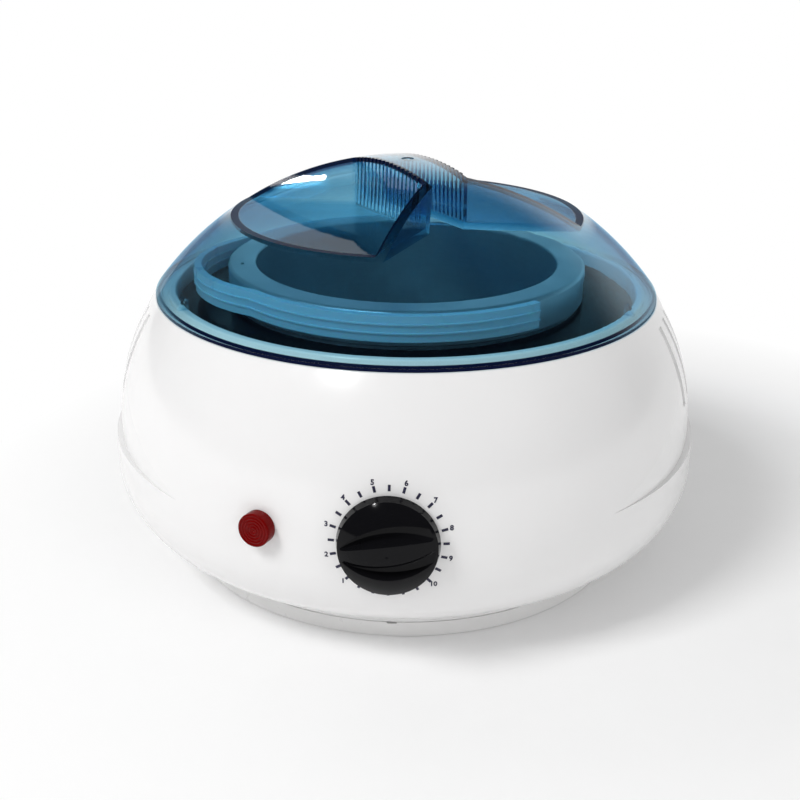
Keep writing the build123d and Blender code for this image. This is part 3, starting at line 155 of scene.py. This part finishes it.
class Shader(Graph):
    """Builds one material. Textures run in the object's own coordinates."""

    def __init__(self, name):
        self.material = bpy.data.materials.new(name)
        self.material.use_nodes = True
        super().__init__(self.material.node_tree)
        self.coords = self.node("ShaderNodeTexCoord").outputs["Object"]

    def noise(self, scale, detail, rough=0.55, stretch=None):
        where = self.coords
        if stretch:
            where = self.node("ShaderNodeMapping", Scale=stretch, Vector=where).outputs["Vector"]
        return self.node(
            "ShaderNodeTexNoise", Scale=scale, Detail=detail, Roughness=rough, Vector=where,
        ).outputs["Fac"]

    def clouded(self, value, colour, vary):
        """The colour, a little darker and lighter in places."""
        darker, lighter = (
            tuple(min(1.0, part * factor) for part in colour) for factor in (1 - vary, 1 + vary)
        )
        return self.ramp(value, darker, lighter)

    def bump(self, value, strength, distance=0.0002):
        return self.node(
            "ShaderNodeBump", Strength=strength, Distance=distance, Height=value,
        ).outputs["Normal"]

    def surface(self, **values):
        return self.node("ShaderNodeBsdfPrincipled", **values).outputs[0]

    def transparent(self, colour):
        return self.node("ShaderNodeBsdfTransparent", Color=colour).outputs[0]

    def finish(self, surface, **others):
        self.node("ShaderNodeOutputMaterial", Surface=surface, **others)
        return self.material


def moulded(name, colour, rough, vary=0.03, grain=0.02, grain_scale=2600, **extra):
    """Moulded plastic or rubber: faint colour clouds, a fine grain and uneven gloss."""
    s = Shader(name)
    tone = s.clouded(s.noise(scale=22, detail=4), colour, vary)
    gloss = s.spread(s.noise(scale=140, detail=3), rough * 0.85, rough * 1.15)
    grainy = s.bump(s.noise(grain_scale, detail=2), grain)
    return s.finish(s.surface(Base_Color=tone, Roughness=gloss, Normal=grainy, **extra))


def metal(name, colour, rough, vary=0.06, stretch=(1, 1, 1), scale=500, grain=0.08):
    """Metal with drawn or turned streaks."""
    s = Shader(name)
    streaks = s.noise(scale, detail=4, rough=0.6, stretch=stretch)
    tone = s.clouded(streaks, colour, vary)
    gloss = s.spread(s.noise(scale=60, detail=3), rough * 0.8, rough * 1.2)
    lines = s.bump(streaks, grain)
    return s.finish(s.surface(Base_Color=tone, Roughness=gloss, Normal=lines, Metallic=1.0))


def pot_metal():
    """Spun aluminium, brushed round the pot, with painted shade: darker inside the pot wall than
    on the flange.
    """
    s = Shader("spun_aluminium")
    pot_wall = (0.0629, 0.0636)
    streaks = s.noise(scale=160, detail=4, rough=0.6, stretch=(0.6, 0.6, 14))
    outside = s.ramp(streaks, (0.776, 0.786, 0.795), (0.824, 0.834, 0.845))
    # Painted shade: the darker colour inside the pot
    painted_shade_inside = s.ramp(streaks, (0.50, 0.51, 0.52), (0.56, 0.57, 0.58))
    radius = s.measure("LENGTH", s.vector("MULTIPLY", s.coords, (1, 1, 0)))
    tone = s.blend(s.spread(radius, 1, 0, pot_wall), outside, painted_shade_inside)
    gloss = s.spread(s.noise(scale=60, detail=3), 0.34, 0.50)
    brushed = s.bump(streaks, 0.05)
    return s.finish(s.surface(Base_Color=tone, Roughness=gloss, Normal=brushed, Metallic=0.8))


def neon_glass():
    """Pilot lamp's bulb: clear glass with a warm tint that lets the lamps' light through."""
    s = Shader("neon_glass")
    tint = (0.95, 0.80, 0.70)
    glass = s.surface(
        Base_Color=tint, Transmission_Weight=1.0, IOR=1.49,
        Roughness=s.spread(s.noise(scale=90, detail=3), 0.02, 0.06),
        Normal=s.bump(s.noise(scale=30, detail=2), 0.02, 0.001),
    )
    return s.finish(s.mix(s.any_ray("Shadow", "Diffuse"), glass, s.transparent(tint)))


# The lid's dome is part of a sphere about a point on the axis. Each band is a range of heights,
# but for the last, which is a range of distances from that point
dome_radius, dome_centre = 0.13193, 0.03247
rim_band = (0.1127, 0.1129)
painted_light_band = (0.1150, 0.1185)
low_light_band = (0.1160, 0.1260)
side_band = (0.1385, 0.1425)
edge_band = (0.1385, 0.1395)
floor_band = (0.1430, 0.1440)
skin_band = (dome_radius - 0.0020, dome_radius - 0.0016)


def lid_plastic():
    """Tinted lid: clear blue, deeper where light runs along the wall, and painted navy shade at
    the edges.
    """
    s = Shader("lid_plastic")
    height = s.axis(s.coords, "Z")
    normal = s.node("ShaderNodeNewGeometry").outputs["Normal"]
    arm = s.vector("SUBTRACT", s.coords, (0, 0, dome_centre))
    reach = s.measure("LENGTH", arm)
    radial = s.maths("ABSOLUTE", s.measure("DOT_PRODUCT", s.vector("NORMALIZE", arm), normal))

    # Clear plastic. Just above the rim it is paler: painted light that makes the white lip behind
    # look brighter
    # Painted navy shade in the glass's colour at the rim
    painted_rim_shade = s.spread(height, 1, 0, rim_band)
    cloud = s.ramp(s.noise(scale=18, detail=2), (0.63, 0.85, 0.95), (0.66, 0.87, 0.96))
    wall = s.blend(s.spread(height, 1, 0, painted_light_band), cloud, (0.86, 0.99, 1.0))
    glass = s.surface(
        Base_Color=s.blend(painted_rim_shade, wall, (0.02, 0.04, 0.12)), Transmission_Weight=1.0, IOR=1.2,
        Roughness=s.spread(s.noise(scale=90, detail=3), 0.01, 0.03),
        Normal=s.bump(s.noise(scale=60, detail=2), 0.10, 0.001),
        Coat_Weight=1.0, Coat_IOR=1.35, Coat_Roughness=0.02,
    )

    # Painted navy shade at the rim, and on the recess walls where they meet the dome's outside
    painted_edge_shade = s.surface(Base_Color=(0.003, 0.006, 0.030), Roughness=0.4, Specular_IOR_Level=0.02)
    cut = s.spread(radial, 0.95, 0, (0.94, 0.96))
    near = s.spread(reach, 0, 1, skin_band)
    upper = s.spread(height, 0, 1, edge_band)
    edge = s.largest(s.spread(painted_rim_shade, 0.03, 1, (0, 1)), s.multiply(cut, near, upper))
    solid = s.mix(edge, glass, painted_edge_shade)

    # Little bending of light at the dome's side seen edge-on, and on the floors of the recesses
    facing = s.node("ShaderNodeLayerWeight", Blend=0.5).outputs["Facing"]
    grazing = s.spread(facing, 0, 0.75, (0.45, 0.85))
    side = s.multiply(grazing, s.spread(height, 1, 0.15, side_band))
    level = s.spread(s.axis(normal, "Z"), 0, 0.72, (0.985, 0.995))
    away = s.spread(reach, 1, 0, skin_band)
    calm = s.largest(side, s.multiply(level, s.spread(height, 1, 0, floor_band), away))

    # The lamps' light goes straight through, and so does every ray from its sixth bounce on
    lamps = s.any_ray("Shadow", "Diffuse")
    depth = s.node("ShaderNodeLightPath").outputs["Ray Depth"]
    deep = s.maths("GREATER_THAN", depth, 5.5)
    let_in = s.blend(s.spread(height, 1, 0, low_light_band), (0.59, 0.83, 0.95), (1, 1, 1))
    through = s.blend(deep, (0.78, 0.91, 0.97), (0.52, 0.68, 0.80))
    clear = s.transparent(s.blend(lamps, through, let_in))
    mixed = s.mix(s.largest(lamps, calm, deep), solid, clear)
    tint = s.node("ShaderNodeVolumeAbsorption", Color=(0.02, 0.59, 0.756), Density=115.0)
    return s.finish(mixed, Volume=tint.outputs[0])


def woven():
    """Glass-fibre cloth: two crossed sets of threads."""
    s = Shader("glass_fibre")
    weave = s.multiply(*(
        s.node(
            "ShaderNodeTexWave", wave_type="BANDS", bands_direction=direction, Scale=420.0,
            Distortion=0.6, Vector=s.coords,
        ).outputs["Fac"] for direction in ("X", "Z")
    ))
    tone = s.ramp(weave, (0.62, 0.58, 0.48), (0.86, 0.83, 0.74), (0, 1))
    rough = s.spread(weave, 0.75, 0.95, (0, 1))
    threads = s.bump(weave, 0.5, 0.0004)
    return s.finish(s.surface(Base_Color=tone, Roughness=rough, Normal=threads))


def printed():
    """Navy printing ink on the housing."""
    s = Shader("dial_ink")
    wear = s.noise(scale=900, detail=3)
    tone = s.ramp(wear, (0.010, 0.010, 0.035), (0.020, 0.018, 0.060))
    return s.finish(s.surface(Base_Color=tone, Roughness=s.spread(wear, 0.4, 0.55)))


white = moulded(
    "white_plastic", (0.86, 0.855, 0.855), 0.22, vary=0.006, grain=0.01,
    Coat_Weight=0.25, Coat_Roughness=0.08,
)
cover = moulded(
    "cover_plastic", (0.85, 0.845, 0.84), 0.3, vary=0.006, grain=0.015,
    Coat_Weight=0.15, Coat_Roughness=0.1,
)
lid_blue = lid_plastic()
aluminium = pot_metal()
matt_aluminium = metal("matt_aluminium", (0.72, 0.72, 0.73), 0.5, vary=0.04, scale=300)
milky = moulded(
    "milky_plastic", (0.62, 0.72, 0.76), 0.3, vary=0.02,
    Subsurface_Weight=0.3, Subsurface_Scale=0.004,
)
deck = moulded(
    "deck_plastic", (0.006, 0.007, 0.008), 0.2, vary=0.15, grain=0.01, Specular_IOR_Level=0.04,
)
knob_black = moulded(
    "knob_plastic", (0.005, 0.005, 0.006), 0.09, vary=0.2, grain=0.004, Specular_IOR_Level=0.12,
)
lamp_red = moulded(
    "lamp_plastic", (0.15, 0.001, 0.001), 0.1, vary=0.12, Specular_IOR_Level=0.08,
    Subsurface_Weight=0.3, Subsurface_Scale=0.002,
)
neon = neon_glass()
rubber = moulded("foot_rubber", (0.05, 0.05, 0.052), 0.75, vary=0.12, grain=0.15, grain_scale=1400)
inner_black = moulded("nylon_black", (0.03, 0.03, 0.032), 0.45, vary=0.15, grain=0.06)
wire = moulded("wire_sleeve", (0.78, 0.76, 0.70), 0.5, vary=0.05, grain=0.05)
cream = moulded("cream_plastic", (0.72, 0.67, 0.55), 0.5, vary=0.04, grain=0.06)
zinc = metal("zinc_plate", (0.60, 0.60, 0.62), 0.34, vary=0.08, scale=900)
sheet = metal("bright_sheet", (0.66, 0.66, 0.67), 0.28, vary=0.05, stretch=(12, 1, 1), scale=240)
mica = metal(
    "mica_band", (0.42, 0.39, 0.34), 0.55, vary=0.15, stretch=(1, 1, 8), scale=120, grain=0.15,
)
brass = metal("brass", (0.72, 0.55, 0.26), 0.3, vary=0.05, scale=600)
copper = metal("copper", (0.70, 0.38, 0.24), 0.3, vary=0.07, scale=500)
glass_fibre = woven()
ink = printed()

made_of = (
    (white, "housing_shell"),
    (cover, "base_cover"),
    (lid_blue, "lid"),
    (aluminium, "wax_pot", "pot_stud"),
    (matt_aluminium, "heating_well"),
    (milky, "pot_handle"),
    (deck, "well_ring"),
    (knob_black, "knob"),
    (lamp_red, "lamp_lens"),
    (neon, "lamp_body"),
    (rubber, "foot_front_left", "foot_front_right", "foot_rear_left", "foot_rear_right"),
    (inner_black, "cord_bushing", "bushing_nut"),
    (wire, "lead_fuse", "lead_switch", "lead_heater", "lead_return"),
    (cream, "thermostat_body", "terminal_block"),
    (zinc, "base_screws", "ring_screws", "shield_screws", "thermostat_screws", "block_screws"),
    (zinc, "strap_screw", "strap_nut"),
    (sheet, "clamp_strap", "heat_shield", "knob_clip", "bulb_clip", "fuse_clip", "lamp_clip"),
    (mica, "heater_band"),
    (brass, "shield_standoffs", "thermostat_shaft", "thermal_fuse", "terminal_screws"),
    (copper, "sensor_bulb", "capillary_tube"),
    (glass_fibre, "insulation_wrap"),
)
looks = {name: material for material, *names in made_of for name in names}
for name, thing in nodes.items():
    if thing.material_slots:
        for holder in thing.material_slots:
            holder.material = looks[name]
    else:
        thing.data.materials.append(looks[name])


# Housing's outer wall: an upright belt between two arcs
belt_low, belt_high = 0.043, 0.048
belt_radius = 0.125
upper_arc, lower_arc = 0.10930, 0.03122


def wall_radius(height):
    """Outer radius of the housing at this height."""
    if height > belt_high:
        return belt_radius - upper_arc + sqrt(upper_arc**2 - (height - belt_high) ** 2)
    if height < belt_low:
        return belt_radius - lower_arc + sqrt(lower_arc**2 - (belt_low - height) ** 2)
    return belt_radius


def wall_normal(outward, height):
    """The wall's direction above the belt. Lower down it is taken as upright."""
    lean = asin((height - belt_high) / upper_arc) if height > belt_high else 0.0
    return outward * cos(lean) + Vector((0, 0, sin(lean)))


# Dial printed on the housing round the knob: ticks and numbers
knob_spot = Vector((0, -0.124653, 0.0567))
knob_normal = Vector((0, -0.99683, 0.07961))
knob_across = Vector((1, 0, 0))
knob_upward = knob_normal.cross(knob_across)
wall_steps = 12
ink_proud, ink_sunk = 0.00006, -0.00005
tick_count, tick_parts = 24, 3
tick_in, tick_out, tick_half = 0.0188, 0.0210, 0.00048
number_radius, number_height = 0.0223, 0.0018
first_number, number_step = 225, 30  # degrees, anticlockwise from the right
capital_share, thickening = 0.7, 0.055


def on_wall(x, y, proud):
    """Point of the wall under this place of the knob's plane."""
    start = knob_spot + knob_across * x + knob_upward * y
    depth = 0.0
    for _ in range(wall_steps):
        spot = start + knob_normal * depth
        depth -= hypot(spot.x, spot.y) - wall_radius(spot.z)
    spot = start + knob_normal * depth
    return spot + wall_normal(Vector((spot.x, spot.y, 0)).normalized(), spot.z) * proud


def add_piece(name, mesh, material):
    """Object from a bmesh, which this uses up."""
    data = bpy.data.meshes.new(name)
    mesh.to_mesh(data)
    mesh.free()
    data.materials.append(material)
    piece = bpy.data.objects.new(name, data)
    scene.collection.objects.link(piece)
    return piece


def printed_piece(name, faces):
    """Thin printed shapes on the wall. Each face is a list of points in the knob's plane."""
    mesh = bmesh.new()
    for points in faces:
        top = [mesh.verts.new(on_wall(x, y, ink_proud)) for x, y in points]
        low = [mesh.verts.new(on_wall(x, y, ink_sunk)) for x, y in points]
        mesh.faces.new(top)
        mesh.faces.new(list(reversed(low)))
        for i in range(len(points)):
            j = (i + 1) % len(points)
            mesh.faces.new((top[i], low[i], low[j], top[j]))
    piece = add_piece(name, mesh, ink)
    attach(piece, "housing")


def tick_faces():
    """Faces of the ticks, each cut in short parts that follow the wall."""
    faces = []
    span = tick_out - tick_in
    steps = [tick_in + span * part / tick_parts for part in range(tick_parts + 1)]
    for place in range(tick_count):
        angle = radians(360 / tick_count * place)
        along = Vector((cos(angle), sin(angle)))
        side = Vector((-sin(angle), cos(angle))) * tick_half
        for near, far in zip(steps, steps[1:]):
            start, end = along * near, along * far
            corners = (start - side, end - side, end + side, start + side)
            faces.append([tuple(corner) for corner in corners])
    return faces


def number_faces(text, centre):
    """Faces of a number in the knob's plane, centred on this place."""
    data = bpy.data.curves.new("number", "FONT")
    data.body = text
    data.size = number_height / capital_share
    data.align_x = "CENTER"
    data.align_y = "CENTER"
    data.offset = number_height * thickening
    data.resolution_u = 4
    writing = bpy.data.objects.new("number", data)
    scene.collection.objects.link(writing)
    bpy.context.view_layer.update()
    flat = bpy.data.meshes.new_from_object(writing)
    faces = []
    for face in flat.polygons:
        spots = [flat.vertices[index].co for index in face.vertices]
        faces.append([(spot.x + centre[0], spot.y + centre[1]) for spot in spots])
    bpy.data.objects.remove(writing)
    bpy.data.meshes.remove(flat)
    bpy.data.curves.remove(data)
    return faces


printed_piece("dial_ticks", tick_faces())
numbers = []
for value in range(1, 11):
    angle = radians(first_number - number_step * (value - 1))
    numbers += number_faces(str(value), (number_radius * cos(angle), number_radius * sin(angle)))
printed_piece("dial_numbers", numbers)


def turned_mesh(spot, normal, profile, sides):
    """Closed solid of revolution about a normal. The profile's points are (radius, height)."""
    across = Vector((0, 0, 1)).cross(normal).normalized()
    upward = normal.cross(across)
    mesh = bmesh.new()
    rings = []
    for radius, height in profile:
        centre = spot + normal * height
        ring = []
        for step in range(sides if radius else 1):
            angle = 2 * pi * step / sides
            out = (across * cos(angle) + upward * sin(angle)) * radius
            ring.append(mesh.verts.new(centre + out))
        rings.append(ring)
    for low, high in zip(rings, rings[1:]):
        for step in range(sides):
            after = (step + 1) % sides
            if len(low) == 1:
                mesh.faces.new((low[0], high[after], high[step]))
            elif len(high) == 1:
                mesh.faces.new((low[step], low[after], high[0]))
            else:
                mesh.faces.new((low[step], low[after], high[after], high[step]))
    bmesh.ops.recalc_face_normals(mesh, faces=mesh.faces)
    for face in mesh.faces:
        face.smooth = True
    return mesh


def make_lens():
    """Pilot lamp's lens: a drum with a ringed face, on its solid's seat, axis and stem."""
    angle, height = radians(-111.5), 0.057
    outward = Vector((cos(angle), sin(angle), 0))
    spot = outward * wall_radius(height) + Vector((0, 0, height))
    drum, stem, end = 0.0062, 0.0040, -0.0049
    seat, face, rounding = 0.0001, 0.0046, 0.0006
    round_steps, rings, ring_steps, ring_depth = 4, 5, 8, 0.00022
    flat = drum - rounding
    profile = [(0, end), (stem, end), (stem, seat), (drum, seat), (drum, face - rounding)]
    for step in range(1, round_steps + 1):
        turn = radians(90 / round_steps * step)
        profile.append((flat + rounding * cos(turn), face - rounding + rounding * sin(turn)))
    for step in range(1, ring_steps * rings):
        share = step / (ring_steps * rings)
        ripple = ring_depth * (cos(2 * pi * rings * share) - 1) / 2
        profile.append((flat * (1 - share), face + ripple))
    profile.append((0, face))
    mesh = turned_mesh(spot, wall_normal(outward, height), profile, sides=64)
    lens = add_piece("lamp_lens_drum", mesh, lamp_red)
    lens.data.set_sharp_from_angle(angle=radians(35))
    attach(lens, "housing")
    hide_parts("lamp_lens")


make_lens()


def make_floor():
    """Pale matt floor that keeps the object's shadow and fades to plain white round it."""
    s = Shader("floor")
    s.coords = s.node("ShaderNodeNewGeometry").outputs["Position"]
    tone = s.ramp(s.noise(scale=60, detail=2), (0.945, 0.945, 0.945), (0.955, 0.955, 0.955))
    matt = s.surface(Base_Color=tone, Roughness=0.9, Specular_IOR_Level=0.0)
    pure = s.node("ShaderNodeEmission", Color=(1, 1, 1), Strength=1.0).outputs[0]
    shadow_centre, fade_band = (0.07, 0.01, 0), (0.16, 0.29)
    far = s.spread(s.measure("DISTANCE", s.coords, shadow_centre), 0, 1, fade_band)
    share = s.multiply(far, s.any_ray("Camera", "Glossy", "Transmission"))
    material = s.finish(s.mix(share, matt, pure))
    bpy.ops.mesh.primitive_plane_add(size=12, location=(0, 0, -0.0002))
    floor = bpy.context.object
    floor.name = "floor"
    floor.data.materials.append(material)


make_floor()


def area_light(name, place, target, size, power, gloss_only=False):
    """Lamp that lights surfaces, or that only shows in their gloss."""
    data = bpy.data.lights.new(name, "AREA")
    data.shape = "RECTANGLE"
    data.size, data.size_y = size
    data.energy = power
    light = bpy.data.objects.new(name, data)
    light.location = place
    light.rotation_euler = (Vector(target) - Vector(place)).to_track_quat("-Z", "Y").to_euler()
    light.visible_glossy = gloss_only
    light.visible_diffuse = not gloss_only
    light.visible_transmission = False
    light.visible_camera = False
    scene.collection.objects.link(light)
    return light


# Soft key from the upper left, weak fill, a glint, and a streak that only the lid shows
area_light("key", (-0.95, -0.75, 1.35), (0, 0, 0.05), (0.55, 0.55), 15)
area_light("fill", (1.1, -1.0, 0.9), (0, 0, 0.08), (0.8, 0.8), 3)
area_light("glint", (-0.42, -0.75, 0.95), (0, -0.05, 0.1), (0.05, 0.09), 4.0, gloss_only=True)
streak = area_light(
    "streak", (-0.185, -0.565, 0.078), (-0.045, 0.02, 0.148), (0.055, 0.012), 0.33,
    gloss_only=True,
)
lid_only = bpy.data.collections.new("lid_only")
lid_only.objects.link(nodes["lid"])
streak.light_linking.receiver_collection = lid_only


def make_world():
    """Even surround for the light. The camera sees it white all round; gloss and glass see it
    white behind the object and dim in front."""
    world = bpy.data.worlds.new("surround")
    world.use_nodes = True
    scene.world = world
    g = Graph(world.node_tree)
    direction = g.node("ShaderNodeTexCoord").outputs["Generated"]
    # Share of white along each axis: at its start, at its end, and the band between
    shares = (
        ("Y", 0.0, 1.0, (0.2, 0.7)),
        ("Z", 1.0, 0.0, (0.3, 0.65)),
        ("X", 0.1, 1.0, (-0.75, -0.1)),
    )
    level = g.multiply(*(
        g.spread(g.axis(direction, axis), start, end, band, interpolation_type="SMOOTHSTEP")
        for axis, start, end, band in shares
    ))
    open_view = g.largest(g.any_ray("Camera"), level)
    tone = g.blend(open_view, (0.02, 0.021, 0.023), (1, 1, 1))
    around = g.node("ShaderNodeBackground", Strength=0.66).outputs[0]
    shown = g.node("ShaderNodeBackground", Color=tone).outputs[0]
    mixed = g.mix(g.any_ray("Camera", "Glossy", "Transmission"), around, shown)
    g.node("ShaderNodeOutputWorld", Surface=mixed)


make_world()

scene.view_settings.view_transform = "Standard"
